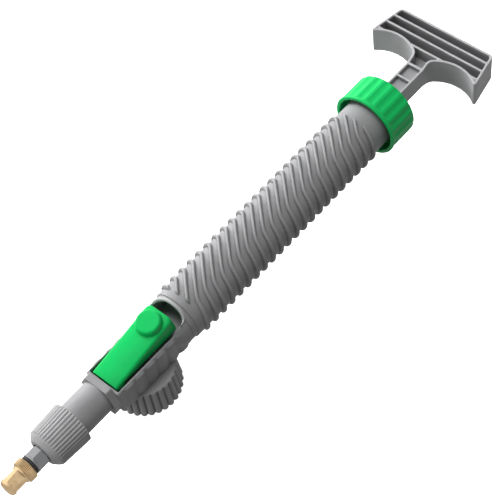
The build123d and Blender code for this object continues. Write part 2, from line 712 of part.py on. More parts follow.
with BuildPart() as bottle_nut:
    with BuildSketch(UPRIGHT):
        with BuildLine():
            Polyline(
                (NECK_R + 0.1, NUT_TOP), (NUT_R_TOP - 0.7, NUT_TOP), (NUT_R_TOP, NUT_TOP - 0.7),
                (NUT_R_BOTTOM, 0.5), (NUT_R_BOTTOM - 0.5, 0), (NUT_THREAD_R, 0),
                (NUT_THREAD_R, NUT_THREAD_TOP), (NUT_RELIEF_R, NUT_THREAD_TOP),
                (NUT_RELIEF_R, NUT_TOP - NUT_TOP_WALL), (NECK_R + 0.1, NUT_TOP - NUT_TOP_WALL),
                close=True,
            )
        make_face()
    revolve(axis=Axis.Z)
    with PolarLocations(0, NUT_FLUTES, start_angle=10):
        add(nut_groove.part, mode=Mode.SUBTRACT)
save(bottle_nut.part, "bottle_nut")

# ---------------------------------------------------------------- outlet tube and collar
with BuildPart() as outlet_tube:
    with BuildSketch(LENGTHWISE):
        with BuildLine():
            Polyline(
                (21.9, 4.0), (21.9, 5.0), (23.8, 5.0), (23.8, 4.3), (25.2, 4.3), (25.2, 5.0),
                (HOUSE_FRONT, 5.0), (HOUSE_FRONT, NECK_TUBE_R), (43.6, NECK_TUBE_R), (43.6, 7.8),
                (53.4, 7.8), (54.0, 7.2), (54.0, TUBE_BORE_R), (24.2, TUBE_BORE_R), (23.4, 4.0),
                close=True,
            )
        make_face()
    revolve(axis=PUMP_AXIS)
save(outlet_tube.part, "outlet_tube")

with BuildPart() as outlet_o_ring:
    with BuildSketch(LENGTHWISE):
        with BuildLine():
            Polyline((23.9, 4.5), (24.1, 4.3), (24.9, 4.3), (25.1, 4.5), (25.1, 4.8), (24.9, 5.0),
                     (24.1, 5.0), (23.9, 4.8), close=True)
        make_face()
    revolve(axis=PUMP_AXIS)
save(outlet_o_ring.part, "outlet_o_ring")

# One groove of the fine straight knurl, made upright: it leans in with the collar's taper.
collar_lean = Vector(COLLAR_FRONT_R - COLLAR_REAR_R, 0, COLLAR_KNURL_END - COLLAR_REAR)
with BuildPart() as knurl_groove:
    with BuildSketch(Plane(origin=(COLLAR_REAR_R + 0.2, 0, -1), x_dir=(0, 1, 0), z_dir=collar_lean)):
        Rectangle(0.95, 0.95, rotation=45)
    extrude(amount=COLLAR_KNURL_END - COLLAR_REAR + 1.6)

with BuildPart(across(COLLAR_REAR)) as collar_nut:
    with BuildSketch(LENGTHWISE):
        with BuildLine():
            Polyline(
                (COLLAR_REAR, 8.75), (COLLAR_REAR, COLLAR_REAR_R - 0.3), (COLLAR_REAR + 0.4, COLLAR_REAR_R),
                (COLLAR_KNURL_END, COLLAR_FRONT_R), (COLLAR_KNURL_END + 1.2, 9.4), (COLLAR_FRONT - 0.4, 7.1),
                (COLLAR_FRONT, 6.5), (COLLAR_FRONT, 5.15), (57.5, 5.15), (57.5, 7.8), (43.7, 7.8),
                (43.7, 8.75), close=True,
            )
        make_face()
    revolve(axis=PUMP_AXIS)
    with PolarLocations(0, COLLAR_GROOVES):
        add(knurl_groove.part, mode=Mode.SUBTRACT)
save(collar_nut.part, "collar_nut")

# ---------------------------------------------------------------- nozzle stem and brass nozzle
with BuildPart() as stem_gasket:
    with BuildSketch(LENGTHWISE):
        with BuildLine():
            Polyline((54.0, 2.6), (54.0, 7.2), (55.0, 7.2), (55.0, 2.6), close=True)
        make_face()
    revolve(axis=PUMP_AXIS)
save(stem_gasket.part, "stem_gasket")

with BuildPart() as nozzle_stem:
    with BuildSketch(across(57.4)):
        RegularPolygon(STEM_BAR_R, 8, rotation=-13)
    extrude(amount=66.9 - 57.4)
    with BuildSketch(LENGTHWISE):
        with BuildLine():
            Polyline((55.0, 0), (55.0, 7.4), (57.5, 7.4), (57.5, 0), close=True)
        make_face()
    revolve(axis=PUMP_AXIS)
    with BuildSketch(LENGTHWISE):
        with BuildLine():
            Polyline((66.8, 0), (66.8, 4.9), (67.0, 5.0), (67.7, 5.0), (67.9, 4.8), (67.9, 0), close=True)
        make_face()
    revolve(axis=PUMP_AXIS)
    with BuildSketch(across(54)):
        Circle(1.6)
    extrude(amount=9, mode=Mode.SUBTRACT)
    with BuildSketch(across(62)):
        Circle(3.2)
    extrude(amount=8, mode=Mode.SUBTRACT)
save(nozzle_stem.part, "nozzle_stem")

with BuildPart() as nozzle_o_ring:
    with BuildSketch(LENGTHWISE):
        with BuildLine():
            Polyline((67.9, 3.2), (67.9, 4.5), (68.25, 4.9), (68.95, 4.9), (69.3, 4.5), (69.3, 3.2),
                     close=True)
        make_face()
    revolve(axis=PUMP_AXIS)
save(nozzle_o_ring.part, "nozzle_o_ring")

with BuildPart() as nozzle_core:
    with BuildSketch(LENGTHWISE):
        with BuildLine():
            Polyline((62.0, 1.3), (62.0, 3.2), (76.6, 3.2), (77.2, 2.6), (77.2, 1.5), (79.6, 1.5),
                     (82.0, 0.35), (82.0, 0), (74.5, 0), (74.0, 1.3), close=True)
        make_face()
    revolve(axis=PUMP_AXIS)
    # cross holes that let the water out round the needle
    with BuildSketch(Plane(origin=(74.4, 0, AXIS_Z), x_dir=(1, 0, 0), z_dir=(0, 0, 1))):
        with Locations((-1.2, 0)):
            Circle(0.7)
    extrude(amount=6, both=True, mode=Mode.SUBTRACT)
save(nozzle_core.part, "nozzle_core")

with BuildPart() as nozzle_seal:
    with BuildSketch(LENGTHWISE):
        with BuildLine():
            Polyline((71.0, 3.24), (71.0, 4.2), (72.2, 4.2), (72.2, 3.24), close=True)
        make_face()
    revolve(axis=PUMP_AXIS)
save(nozzle_seal.part, "nozzle_seal")

with BuildPart() as brass_nozzle:
    with BuildSketch(LENGTHWISE):
        with BuildLine():
            Polyline(
                (NOZZLE_REAR, 3.26), (NOZZLE_REAR, 5.3), (NOZZLE_REAR + 0.4, 5.66), (73.1, 5.66),
                (73.5, 5.3), (73.5, 4.72), (81.4, 4.5), (82.6, 4.1), (83.3, 3.3), (NOZZLE_TIP, 2.6),
                (NOZZLE_TIP, 1.0), (83.1, 0.6), (81.9, 0.6), (79.5, 1.8), (77.8, 2.9), (77.2, 3.26),
                (72.25, 3.26), (72.25, 4.25), (70.95, 4.25), (70.95, 3.26), close=True,
            )
        make_face()
    revolve(axis=PUMP_AXIS)
    # four spanner flats
    with BuildSketch(across(74.6)):
        with PolarLocations(5.3, 4, start_angle=-28):
            Rectangle(2.1, 9)
    extrude(amount=6.6, mode=Mode.SUBTRACT)
save(brass_nozzle.part, "brass_nozzle")
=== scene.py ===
import math

import bmesh
import bpy
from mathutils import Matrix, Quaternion, Vector


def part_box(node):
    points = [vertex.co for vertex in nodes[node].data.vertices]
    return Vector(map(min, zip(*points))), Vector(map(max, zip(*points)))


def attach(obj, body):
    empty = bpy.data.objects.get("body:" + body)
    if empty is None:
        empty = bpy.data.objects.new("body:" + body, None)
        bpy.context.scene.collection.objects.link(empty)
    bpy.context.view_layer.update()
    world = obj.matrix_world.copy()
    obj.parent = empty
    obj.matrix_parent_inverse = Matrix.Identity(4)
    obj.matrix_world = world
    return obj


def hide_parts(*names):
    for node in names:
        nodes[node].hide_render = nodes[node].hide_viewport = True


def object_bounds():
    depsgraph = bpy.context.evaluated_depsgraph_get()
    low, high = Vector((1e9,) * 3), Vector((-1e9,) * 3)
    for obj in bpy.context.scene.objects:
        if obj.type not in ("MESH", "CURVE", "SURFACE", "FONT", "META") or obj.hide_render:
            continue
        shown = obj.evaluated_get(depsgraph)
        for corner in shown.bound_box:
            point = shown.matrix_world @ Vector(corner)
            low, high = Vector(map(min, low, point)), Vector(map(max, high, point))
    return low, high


# Looks of the hand-pump bottle sprayer, in the frame of the CAD model: +X is the spray direction,
# +Z is up (lever side), and the pump axis runs along X. Lengths are written in millimetres and
# multiplied by MM where they meet Blender, except those of the lights and the floor.
MM = 0.001

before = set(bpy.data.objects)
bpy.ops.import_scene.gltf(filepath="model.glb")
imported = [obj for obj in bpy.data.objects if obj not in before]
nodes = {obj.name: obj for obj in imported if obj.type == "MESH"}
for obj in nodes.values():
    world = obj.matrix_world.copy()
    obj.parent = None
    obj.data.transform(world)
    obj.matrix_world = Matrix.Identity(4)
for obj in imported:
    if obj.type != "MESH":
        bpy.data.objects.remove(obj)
cad_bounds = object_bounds()

AXIS_Z = sum(corner.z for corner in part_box("pump_barrel")) / 2 / MM

# ------------------------------------------------------------------ camera and light
CAMERA_AT = Vector((181.92, 299.13, 583.89)) * MM
CAMERA_TARGET = Vector((-75.08, 2.47, 25.0)) * MM
CAMERA_ROLL = -10.21      # degrees
CAMERA_LENS = 104.75
CAMERA_SENSOR = 36
LIGHT_DISTANCE = 1.3      # metres
LIGHT_SIZE = 0.9          # metres
LIGHTS = (                # name, direction it comes from, power in watts
    ("left", Vector((-0.12, -0.98, 0.22)), 33.0),
    ("top", Vector((-0.05, -0.25, 0.95)), 15.0),
    ("front", Vector((0.9, -0.25, 0.15)), 8.0),
)
FILL_STRENGTH = 0.28
SOFTBOX_FROM = Vector((-0.38, -0.69, 0.61))    # a large bright softbox that only reflections see
SOFTBOX_EDGE = (0.2, 0.8)      # cosine off its middle where it starts, and where it is brightest
SOFTBOX_SHINE = 1.3
WALL_SHINE = 0.56
FLOOR_R = 3.0             # metres
FLOOR_GAP = 1             # mm between the floor and the lowest point of the sprayer
WHITE = (1.0, 1.0, 1.0, 1.0)


def look(obj, target, roll=0.0):
    """Turns a camera or light towards a point, then rolls it about its own view axis."""
    turn = (target - obj.location).to_track_quat("-Z", "Y")
    obj.rotation_mode = "QUATERNION"
    obj.rotation_quaternion = turn @ Quaternion((0, 0, 1), math.radians(roll))


def make_camera():
    data = bpy.data.cameras.new("camera")
    camera = bpy.data.objects.new("camera", data)
    bpy.context.scene.collection.objects.link(camera)
    camera.location = CAMERA_AT
    look(camera, CAMERA_TARGET, CAMERA_ROLL)
    data.lens = CAMERA_LENS
    data.sensor_width = CAMERA_SENSOR
    data.clip_start = 0.01
    data.clip_end = 20
    bpy.context.scene.camera = camera


def area_light(name, direction, power):
    data = bpy.data.lights.new(name, "AREA")
    data.shape = "DISK"
    data.size = LIGHT_SIZE
    data.energy = power
    light = bpy.data.objects.new(name, data)
    bpy.context.scene.collection.objects.link(light)
    light.location = CAMERA_TARGET + direction.normalized() * LIGHT_DISTANCE
    look(light, CAMERA_TARGET)
    light.visible_glossy = False


def make_world():
    """White where the camera sees it and an even, dim fill for the sprayer. Reflections see a large
    bright softbox from the upper left and dimmer walls."""
    world = bpy.data.worlds.new("studio")
    bpy.context.scene.world = world
    world.use_nodes = True
    tree = world.node_tree
    tree.nodes.clear()
    seen = tree.nodes.new("ShaderNodeBackground")
    seen.inputs["Color"].default_value = WHITE
    fill = tree.nodes.new("ShaderNodeBackground")
    fill.inputs["Color"].default_value = WHITE
    fill.inputs["Strength"].default_value = FILL_STRENGTH
    shine = tree.nodes.new("ShaderNodeBackground")
    shine.inputs["Color"].default_value = WHITE
    towards = tree.nodes.new("ShaderNodeVectorMath")
    towards.operation = "DOT_PRODUCT"
    towards.inputs[1].default_value = SOFTBOX_FROM.normalized()
    tree.links.new(tree.nodes.new("ShaderNodeTexCoord").outputs["Generated"], towards.inputs[0])
    softbox = tree.nodes.new("ShaderNodeMapRange")
    softbox.inputs["From Min"].default_value = SOFTBOX_EDGE[0]
    softbox.inputs["From Max"].default_value = SOFTBOX_EDGE[1]
    softbox.inputs["To Min"].default_value = WALL_SHINE
    softbox.inputs["To Max"].default_value = SOFTBOX_SHINE
    tree.links.new(towards.outputs["Value"], softbox.inputs["Value"])
    tree.links.new(softbox.outputs["Result"], shine.inputs["Strength"])
    path = tree.nodes.new("ShaderNodeLightPath")
    mirrored = tree.nodes.new("ShaderNodeMixShader")
    mix = tree.nodes.new("ShaderNodeMixShader")
    out = tree.nodes.new("ShaderNodeOutputWorld")
    tree.links.new(path.outputs["Is Glossy Ray"], mirrored.inputs[0])
    tree.links.new(fill.outputs[0], mirrored.inputs[1])
    tree.links.new(shine.outputs[0], mirrored.inputs[2])
    tree.links.new(path.outputs["Is Camera Ray"], mix.inputs[0])
    tree.links.new(mirrored.outputs[0], mix.inputs[1])
    tree.links.new(seen.outputs[0], mix.inputs[2])
    tree.links.new(mix.outputs[0], out.inputs["Surface"])


def make_floor():
    """White paper that shines a little and throws no light back on the sprayer."""
    mesh = bpy.data.meshes.new("floor")
    floor = bpy.data.objects.new("floor", mesh)
    bpy.context.scene.collection.objects.link(floor)
    shape = bmesh.new()
    bmesh.ops.create_circle(shape, cap_ends=True, segments=64, radius=FLOOR_R)
    shape.to_mesh(mesh)
    shape.free()
    floor.location.z = cad_bounds[0].z - FLOOR_GAP * MM
    paper = bpy.data.materials.new("white_paper")
    paper.use_nodes = True
    shader = paper.node_tree.nodes["Principled BSDF"]
    shader.inputs["Base Color"].default_value = WHITE
    shader.inputs["Roughness"].default_value = 0.9
    shader.inputs["Emission Color"].default_value = WHITE
    shader.inputs["Emission Strength"].default_value = 1.0
    mesh.materials.append(paper)
    floor.visible_diffuse = False
    floor.visible_glossy = False


# ------------------------------------------------------------------ materials
# Pointiness is 0.5 on a flat face, more on an outer edge and less in a corner.
# Outer edges are paled partly for wear and partly as a painted highlight.
WORN_AND_LIT_EDGE = (0.515, 0.60)
# Corners and creases of plastic are darkened with painted shade.
SHADED_CORNER = (0.49, 0.42)
# Corners of metal are simply made darker.
DARKER_CORNER = (0.48, 0.40)
HOLLOW = 8                # mm, width of the hollows that painted shade darkens on a plastic piece
GROOVE = 1.2              # mm, width of the grooves that painted shade darkens on a metal piece
CLOUD_SCALE = 90          # noise scales are per metre
GRAIN_SCALE = 2600
SHEEN_SCALE = 420
TARNISH_SCALE = 500
RING_SCALE = 9000.0       # along the axis of the turned rings
ROUND_SCALE = 40.0        # across it


def noise(tree, coords, scale, detail):
    node = tree.nodes.new("ShaderNodeTexNoise")
    node.inputs["Scale"].default_value = scale
    node.inputs["Detail"].default_value = detail
    tree.links.new(coords, node.inputs["Vector"])
    return node.outputs["Fac"]


def ramp(tree, value, low, high, dark, light):
    """Colour or grey that goes from dark to light as value goes from low to high."""
    node = tree.nodes.new("ShaderNodeMapRange")
    node.inputs["From Min"].default_value = low
    node.inputs["From Max"].default_value = high
    tree.links.new(value, node.inputs["Value"])
    mix = tree.nodes.new("ShaderNodeMix")
    mix.data_type = "RGBA"
    mix.inputs["A"].default_value = dark
    mix.inputs["B"].default_value = light
    tree.links.new(node.outputs["Result"], mix.inputs["Factor"])
    return mix.outputs["Result"]


def tint(tree, colour, value, low, high, towards, amount):
    """Blends a colour towards another where value goes from low to high."""
    node = tree.nodes.new("ShaderNodeMapRange")
    node.inputs["From Min"].default_value = low
    node.inputs["From Max"].default_value = high
    node.inputs["To Max"].default_value = amount
    tree.links.new(value, node.inputs["Value"])
    mix = tree.nodes.new("ShaderNodeMix")
    mix.data_type = "RGBA"
    mix.inputs["B"].default_value = towards
    tree.links.new(colour, mix.inputs["A"])
    tree.links.new(node.outputs["Result"], mix.inputs["Factor"])
    return mix.outputs["Result"]


def openness(tree, reach):
    """1 on open surfaces and towards 0 in hollows narrower than reach (mm)."""
    node = tree.nodes.new("ShaderNodeAmbientOcclusion")
    node.only_local = True
    node.samples = 8
    node.inputs["Distance"].default_value = reach * MM
    return node.outputs["AO"]


def scaled(colour, k):
    return (colour[0] * k, colour[1] * k, colour[2] * k, 1.0)


def plastic(name, colour, roughness, specular=0.5, grain=0.35, worn_and_lit=0.3, shadow=0.6, gloss=0.0):
    """Injection-moulded plastic: mottled colour, paler edges that are partly wear and partly a painted
    highlight, painted shade in the corners and hollows, fine grain.
    """
    mat = bpy.data.materials.new(name)
    mat.use_nodes = True
    tree = mat.node_tree
    shader = tree.nodes["Principled BSDF"]
    coords = tree.nodes.new("ShaderNodeTexCoord").outputs["Object"]
    edges = tree.nodes.new("ShaderNodeNewGeometry").outputs["Pointiness"]
    cloudy = noise(tree, coords, CLOUD_SCALE, 4)
    fine = noise(tree, coords, GRAIN_SCALE, 2)
    shade = ramp(tree, cloudy, 0.3, 0.7, scaled(colour, 0.93), scaled(colour, 1.06))
    pale = tuple(c + 0.25 * (1 - c) for c in colour[:3]) + (1.0,)
    # paler outer edges: partly wear, partly a painted highlight
    shade = tint(tree, shade, edges, *WORN_AND_LIT_EDGE, pale, worn_and_lit)
    # painted shade in corners and creases
    shade = tint(tree, shade, edges, *SHADED_CORNER, scaled(colour, 0.25), 0.5)
    # painted shade in hollows, where shade falls
    shade = tint(tree, shade, openness(tree, HOLLOW), 0.85, 0.25, scaled(colour, 0.3), shadow)
    tree.links.new(shade, shader.inputs["Base Color"])
    rough = ramp(tree, noise(tree, coords, SHEEN_SCALE, 3), 0.3, 0.7,
                 (roughness * 0.86,) * 3 + (1,), (min(1, roughness * 1.16),) * 3 + (1,))
    tree.links.new(rough, shader.inputs["Roughness"])
    shader.inputs["Specular IOR Level"].default_value = specular
    shader.inputs["Coat Weight"].default_value = gloss
    shader.inputs["Coat Roughness"].default_value = 0.08
    shader.inputs["Coat IOR"].default_value = 2.6
    bump = tree.nodes.new("ShaderNodeBump")
    bump.inputs["Strength"].default_value = grain
    bump.inputs["Distance"].default_value = 0.03 * MM
    tree.links.new(fine, bump.inputs["Height"])
    tree.links.new(bump.outputs["Normal"], shader.inputs["Normal"])
    return mat


def turned_metal(name, colour, roughness, stripe_axis=0):
    """Lathe-turned metal: fine rings round one axis (0 is X, 2 is Z), slight tarnish, darker corners, and
    painted shade in the grooves.
    """
    mat = bpy.data.materials.new(name)
    mat.use_nodes = True
    tree = mat.node_tree
    shader = tree.nodes["Principled BSDF"]
    shader.inputs["Metallic"].default_value = 1.0
    coords = tree.nodes.new("ShaderNodeTexCoord").outputs["Object"]
    stretch = tree.nodes.new("ShaderNodeMapping")
    scale = [ROUND_SCALE] * 3
    scale[stripe_axis] = RING_SCALE
    stretch.inputs["Scale"].default_value = scale
    tree.links.new(coords, stretch.inputs["Vector"])
    rings = noise(tree, stretch.outputs["Vector"], 1.0, 2)
    tarnish = noise(tree, coords, TARNISH_SCALE, 4)
    shade = ramp(tree, tarnish, 0.35, 0.7, scaled(colour, 1.04), scaled(colour, 0.80))
    edges = tree.nodes.new("ShaderNodeNewGeometry").outputs["Pointiness"]
    # darker in the corners
    shade = tint(tree, shade, edges, *DARKER_CORNER, scaled(colour, 0.35), 0.6)
    # painted shade in the grooves
    shade = tint(tree, shade, openness(tree, GROOVE), 0.9, 0.45, scaled(colour, 0.15), 0.9)
    tree.links.new(shade, shader.inputs["Base Color"])
    rough = ramp(tree, tarnish, 0.3, 0.7, (roughness,) * 3 + (1,), (roughness + 0.12,) * 3 + (1,))
    tree.links.new(rough, shader.inputs["Roughness"])
    bump = tree.nodes.new("ShaderNodeBump")
    bump.inputs["Strength"].default_value = 0.25
    bump.inputs["Distance"].default_value = 0.02 * MM
    tree.links.new(rings, bump.inputs["Height"])
    tree.links.new(bump.outputs["Normal"], shader.inputs["Normal"])
    return mat


GREY = (0.235, 0.235, 0.24, 1.0)
HANDLE_GREY = (0.34, 0.34, 0.35, 1.0)
# a lighter copy of the grey plastic: painted light on the collar's bright band
COLLAR_LIT_GREY = (0.3, 0.3, 0.305, 1.0)
SLATE = (0.055, 0.06, 0.07, 1.0)
GREEN = (0.0, 0.43, 0.095, 1.0)
LEVER_GREEN = (0.0, 0.4, 0.085, 1.0)
IVORY = (0.74, 0.73, 0.69, 1.0)
BLACK = (0.012, 0.012, 0.013, 1.0)
BRASS = (0.93, 0.67, 0.38, 1.0)
STEEL = (0.60, 0.60, 0.61, 1.0)

materials = {
    "grey": plastic("grey_plastic", GREY, 0.5, specular=0.4),
    "handle": plastic("handle_plastic", HANDLE_GREY, 0.42, specular=0.45),
    "slate": plastic("slate_plastic", SLATE, 0.14, specular=1.0, grain=0.05, shadow=0.2, gloss=1.0),
    "collar": plastic("collar_lit_plastic", COLLAR_LIT_GREY, 0.5, specular=0.4, shadow=0.3),
    "green": plastic("green_plastic", GREEN, 0.42, specular=0.28, grain=0.2, worn_and_lit=0.1),
    "lever": plastic("green_lever_plastic", LEVER_GREEN, 0.36, specular=0.2, grain=0.1, worn_and_lit=0.1),
    "ivory": plastic("ivory_plastic", IVORY, 0.5),
    "rubber": plastic("black_rubber", BLACK, 0.6, grain=0.5),
    "brass": turned_metal("turned_brass", BRASS, 0.26),
    "steel": turned_metal("stainless_steel", STEEL, 0.3, stripe_axis=2),
}


def paint(obj, key):
    obj.data.materials.clear()
    obj.data.materials.append(materials[key])


# ------------------------------------------------------------------ turned pieces
FILLET_STEP = math.radians(14)
SHARP_EDGE = math.radians(50)


def arc_corners(corners):
    """Closed outline in mm from (along, radius, fillet) corners, with each fillet as a short arc."""
    outline = []
    count = len(corners)
    for i, (along, radius, fillet) in enumerate(corners):
        here = Vector((along, radius))
        if fillet == 0:
            outline.append(here)
            continue
        before = (Vector(corners[i - 1][:2]) - here).normalized()
        after = (Vector(corners[(i + 1) % count][:2]) - here).normalized()
        half = before.angle(after) / 2
        reach = fillet / math.tan(half)
        centre = here + (before + after).normalized() * (fillet / math.sin(half))
        start = here + before * reach - centre
        turn = start.angle_signed(here + after * reach - centre)
        steps = max(3, math.ceil(abs(turn) / FILLET_STEP))
        for k in range(steps + 1):
            a = -turn * k / steps
            spoke = Vector((start.x * math.cos(a) - start.y * math.sin(a),
                            start.x * math.sin(a) + start.y * math.cos(a)))
            outline.append(centre + spoke)
    return outline


def refine(outline, step):
    """Adds points so that no stretch of a closed outline is longer than step(middle, start, end) says."""
    fine = []
    for i, a in enumerate(outline):
        b = outline[(i + 1) % len(outline)]
        pieces = max(1, math.ceil((b - a).length / step((a + b) / 2, a, b)))
        fine += [a.lerp(b, k / pieces) for k in range(pieces)]
    return fine


def fine_beyond(radius, fine, coarse):
    """Step for refine: fine beyond a radius, coarse within it."""
    return lambda middle, start, end: fine if middle.y > radius else coarse


def turned(name, outline, sides, shape=None, upright=False, bend=None):
    """Closed outline turned round the pump axis, or round Z. shape(along, radius, angle) gives the radius
    and bend(x, y, z) moves a point along X. Round the pump axis the angle runs from +Z towards +Y, and
    round Z from +X towards +Y."""
    verts = []
    for point in outline:
        for j in range(sides):
            angle = 2 * math.pi * j / sides
            radius = shape(point.x, point.y, angle) if shape else point.y
            if upright:
                verts.append((radius * math.cos(angle), radius * math.sin(angle), point.x))
            else:
                y, z = radius * math.sin(angle), AXIS_Z + radius * math.cos(angle)
                verts.append((bend(point.x, y, z) if bend else point.x, y, z))
    count = len(outline)
    faces = [
        (i * sides + j, i * sides + (j + 1) % sides,
         (i + 1) % count * sides + (j + 1) % sides, (i + 1) % count * sides + j)
        for i in range(count) for j in range(sides)
    ]
    mesh = bpy.data.meshes.new(name)
    mesh.from_pydata([Vector(v) * MM for v in verts], [], faces)
    fix = bmesh.new()
    fix.from_mesh(mesh)
    bmesh.ops.recalc_face_normals(fix, faces=fix.faces)
    fix.to_mesh(mesh)
    fix.free()
    mesh.shade_smooth()
    mesh.set_sharp_from_angle(angle=SHARP_EDGE)
    obj = bpy.data.objects.new(name, mesh)
    bpy.context.scene.collection.objects.link(obj)
    return obj


def place(obj, node, body, paint_key):
    """The piece stands for a CAD node, rides on its body and takes its finish."""
    paint(obj, paint_key)
    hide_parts(node)
    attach(obj, body)


# ------------------------------------------------------------------ pump barrel
BORE_R = 11.0
BARREL_R = 13.2
RIB_HEIGHT = 1.5
RIB_HALF = 1.12          # half width of a rib
RIB_FIRST = -35.43       # where rib 0 crosses the top centre line
RIB_PITCH = 5.82
RIB_KINK = (7.9, 7.2)    # half width of the diagonal stretch, and how far along it shifts
RIB_SIDE = (14.7, 8.73)  # the same two at the barrel's side
RIB_BEND = 1.3           # how softly it goes over into the side stretch
RIB_ZONE = (-156.9, -30.2)
RIB_END = 0.8            # length over which a rib's end rounds off
RING_R = 12.6            # slimmer front ring
RING_REAR = -26.8
HOOD_CENTRE = (-20.5, 38.0)   # x and z of the arched edge's centre above the lever
HOOD_R = 5.0
THREAD_LENGTH = 7.5


def rib_shift(y):
    """How far a rib has moved along the barrel at a distance y from the middle: a diagonal stretch
    and a straighter one, with a smooth bend between them."""
    steep = RIB_KINK[1] / RIB_KINK[0]
    gentle = (RIB_SIDE[1] - RIB_KINK[1]) / (RIB_SIDE[0] - RIB_KINK[0])
    reach = min(abs(y), RIB_SIDE[0])
    past = reach - RIB_KINK[0]
    bent = (past + math.sqrt(past ** 2 + RIB_BEND ** 2)) / 2
    return math.copysign(steep * reach - (steep - gentle) * bent, y)


def rib_height(x, angle):
    y = (BARREL_R + RIB_HEIGHT) * math.sin(angle)
    rear, front = RIB_ZONE
    inside = min(x - rear, front - x)
    if inside <= 0:
        return 0.0
    turns = (x - rib_shift(y) - RIB_FIRST) / RIB_PITCH
    offset = abs(turns - round(turns)) * RIB_PITCH / RIB_HALF
    if offset >= 1:
        return 0.0
    crown = (1 - offset ** 3.2) ** 0.58
    end = min(1.0, inside / RIB_END)
    return RIB_HEIGHT * crown * math.sqrt(1 - (1 - end) ** 2)


def make_barrel():
    rear, front = (corner.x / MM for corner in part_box("pump_barrel"))
    thread_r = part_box("pump_barrel")[1].y / MM
    outline = arc_corners([
        (rear, BORE_R, 0), (rear, thread_r, 0.5), (rear + THREAD_LENGTH, thread_r, 0.4),
        (rear + THREAD_LENGTH + 1.2, BARREL_R, 0.5),
        (RING_REAR, BARREL_R, 0.3), (RING_REAR, RING_R, 0.25), (front, RING_R, 0.78),
        (front, BORE_R, 0.78), (RING_REAR, BORE_R, 0),
    ])

    def step(middle, start, end):
        low, high = sorted((start.x, end.x))
        ribbed = middle.y > BARREL_R - 0.1 and RIB_ZONE[0] - 2 < high and low < RIB_ZONE[1]
        return 0.3 if ribbed else 12.0

    def shape(x, radius, angle):
        return radius + rib_height(x, angle) if radius > BARREL_R - 0.01 else radius

    def draw_back(x, y, z):
        """Squeezes the front ring behind the arched edge."""
        up = HOOD_CENTRE[1] - z
        if x <= RING_REAR or up > HOOD_R:
            return x
        edge = min(front, HOOD_CENTRE[0] - math.sqrt(HOOD_R ** 2 - max(up, 0) ** 2))
        return RING_REAR + (x - RING_REAR) * (edge - RING_REAR) / (front - RING_REAR)

    barrel = turned("ribbed_barrel", refine(outline, step), 240, shape, bend=draw_back)
    place(barrel, "pump_barrel", "sprayer_body", "grey")


# ------------------------------------------------------------------ bead round the lever's opening
BEAD_R = 0.85
BEAD_POINTS = 24
BEAD_SIDES = 14
BEAD_SUNK = 0.35          # share of its radius that lies in the ring's wall


def make_bead():
    """Thick rounded edge where the barrel's front ring arches over the lever: the line on the ring's
    surface that the arched edge follows, from the right side over the top to the left."""
    surface = RING_R - BEAD_SUNK * BEAD_R
    top = math.acos((HOOD_CENTRE[1] - HOOD_R - AXIS_Z) / surface)
    verts = []
    for i in range(BEAD_POINTS + 1):
        angle = top * (2 * i / BEAD_POINTS - 1)
        up = surface * math.cos(angle)
        drop = HOOD_CENTRE[1] - AXIS_Z - up
        back = math.sqrt(max(0.0, HOOD_R ** 2 - drop ** 2))
        middle = Vector((HOOD_CENTRE[0] - back, surface * math.sin(angle), AXIS_Z + up))
        outward = Vector((0, math.sin(angle), math.cos(angle)))
        along = Vector((1, 0, 0))
        size = BEAD_R if 0 < i < BEAD_POINTS else BEAD_R / 2
        for k in range(BEAD_SIDES):
            turn = 2 * math.pi * k / BEAD_SIDES
            verts.append(middle + size * (math.cos(turn) * outward + math.sin(turn) * along))
    shape = bmesh.new()
    points = [shape.verts.new(v * MM) for v in verts]
    rings = [points[i * BEAD_SIDES:(i + 1) * BEAD_SIDES] for i in range(BEAD_POINTS + 1)]
    for ring, following in zip(rings, rings[1:]):
        for k in range(BEAD_SIDES):
            after = (k + 1) % BEAD_SIDES
            shape.faces.new((ring[k], ring[after], following[after], following[k]))
    shape.faces.new(rings[0])
    shape.faces.new(list(reversed(rings[-1])))
    bmesh.ops.recalc_face_normals(shape, faces=shape.faces)
    mesh = bpy.data.meshes.new("opening_bead")
    shape.to_mesh(mesh)
    shape.free()
    mesh.shade_smooth()
    bead = bpy.data.objects.new("opening_bead", mesh)
    bpy.context.scene.collection.objects.link(bead)
    # The lighter handle grey on the bead is a painted highlight on the rounded rim.
    paint(bead, "handle")
    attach(bead, "sprayer_body")


# ------------------------------------------------------------------ end cap
CAP_FLUTES = 20
CAP_FLUTE_FIRST = 8.0     # angle of one flute's middle, in degrees from the top
CAP_FLUTE_R = 6.0
CAP_FLUTE_DEPTH = 0.45
CAP_HOLE_R = 8.6
CAP_THREAD_R = 15.2
CAP_MOUTH_R = 15.9
CAP_MOUTH_DEPTH = 6.0
CAP_WALL = 1.8
CAP_LIP = 1.5             # length of the lip round the mouth
CAP_NICKS = 24            # shallow nicks round the mouth


